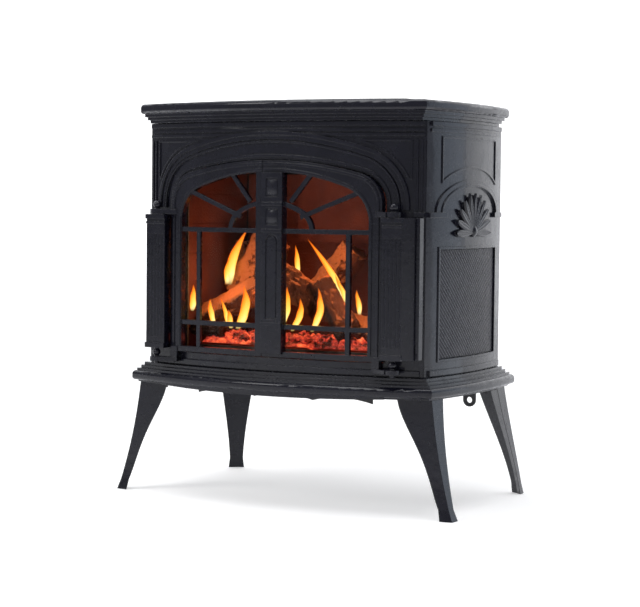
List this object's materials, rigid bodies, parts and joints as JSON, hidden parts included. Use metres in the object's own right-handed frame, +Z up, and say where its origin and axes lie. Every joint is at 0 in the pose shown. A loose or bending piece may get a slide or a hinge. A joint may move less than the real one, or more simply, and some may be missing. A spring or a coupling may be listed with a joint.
{
  "type": "cast iron stove",
  "caption": "Freestanding cast iron heating stove: bowed front, arched double doors with muntin grid over glass, log fire, splayed legs, rear flue collar.",
  "frame": {"origin": "on the floor under the middle of the overall box", "axes": "+Z up, -Y out of the doors, +X to the right of someone facing the doors"},
  "size_m": [0.6362, 0.4079, 0.6585],
  "materials": {
    "enamelled_iron": "glossy near-black vitreous enamel with a faint blue tint over slightly pebbled cast iron",
    "ceramic_log": "matt ceramic fibre painted as split and charred wood",
    "embers": "glowing mineral wool ember bed, orange and red",
    "refractory": "matt dark red-brown moulded refractory",
    "glass": "clear heat resistant ceramic glass",
    "rope_gasket": "braided glass fibre rope",
    "black_plastic": "satin black phenolic",
    "brass_fittings": "plain machined brass",
    "firebox_steel": "dull aluminised steel",
    "painted_sheet": "matt black heat resistant paint on sheet steel",
    "fasteners": "blackened steel"
  },
  "bodies": {
    "root": {"air_collar": "firebox_steel", "back_panel": "painted_sheet", "back_screws": "fasteners", "baffle_plate": "firebox_steel", "base_plate": "enamelled_iron", "bottom_heat_shield": "painted_sheet", "burner_tray": "firebox_steel", "burner_tube": "firebox_steel", "ember_bed": "embers", "eye_tab": "painted_sheet", "firebox_shell": "firebox_steel", "flue_baffle": "refractory", "flue_collar": "firebox_steel", "front_left_leg": "enamelled_iron", "front_left_log": "ceramic_log", "front_right_leg": "enamelled_iron", "front_right_log": "ceramic_log", "front_surround": "enamelled_iron", "gas_inlet": "brass_fittings", "gas_valve": "brass_fittings", "glass_clips": "fasteners", "glass_frame": "painted_sheet", "glass_gasket": "rope_gasket", "hinge_pins": "enamelled_iron", "igniter_barrel": "black_plastic", "left_log": "ceramic_log", "left_pilaster": "enamelled_iron", "left_side_mesh": "enamelled_iron", "left_side_panel": "enamelled_iron", "left_upper_log": "ceramic_log", "leg_bolts": "fasteners", "middle_log": "ceramic_log", "pilot_assembly": "brass_fittings", "rear_heat_shield": "painted_sheet", "rear_left_leg": "enamelled_iron", "rear_left_log": "ceramic_log", "rear_right_leg": "enamelled_iron", "rear_right_log": "ceramic_log", "refractory_back": "refractory", "refractory_left": "refractory", "refractory_right": "refractory", "right_log": "ceramic_log", "right_pilaster": "enamelled_iron", "right_side_mesh": "enamelled_iron", "right_side_panel": "enamelled_iron", "shield_spacers": "painted_sheet", "supply_pipe": "brass_fittings", "top_plate": "enamelled_iron", "window_glass": "glass"},
    "left_door": {"left_door": "enamelled_iron"},
    "right_door": {"right_door": "enamelled_iron", "door_astragal": "enamelled_iron"},
    "top_grille": {"top_grille": "enamelled_iron"},
    "gas_knob": {"gas_knob": "black_plastic"},
    "flame_knob": {"flame_knob": "black_plastic"},
    "igniter_button": {"igniter_button": "black_plastic"}
  },
  "joints": [
    {"name": "left_door_hinge", "type": "hinge", "parent": "root", "child": "left_door", "pos_m": [-0.221, -0.171, 0.36], "axis": [0, 0, -1], "range_deg": [0, 115]},
    {"name": "right_door_hinge", "type": "hinge", "parent": "root", "child": "right_door", "pos_m": [0.221, -0.171, 0.36], "axis": [0, 0, 1], "range_deg": [0, 115]},
    {"name": "top_grille_lift", "type": "slide", "parent": "root", "child": "top_grille", "axis": [0, 0, 1], "range_m": [0, 0.06]},
    {"name": "gas_knob_turn", "type": "hinge", "parent": "root", "child": "gas_knob", "pos_m": [0.096, 0.15, 0.262], "axis": [0, 1, 0], "range_deg": [0, 180]},
    {"name": "flame_knob_turn", "type": "hinge", "parent": "root", "child": "flame_knob", "pos_m": [0.148, 0.15, 0.262], "axis": [0, 1, 0], "range_deg": [0, 270]},
    {"name": "igniter_press", "type": "slide", "parent": "root", "child": "igniter_button", "axis": [0, -1, 0], "range_m": [0, 0.004], "stiffness_N_per_m": 800, "springref_m": -0.004}
  ]
}
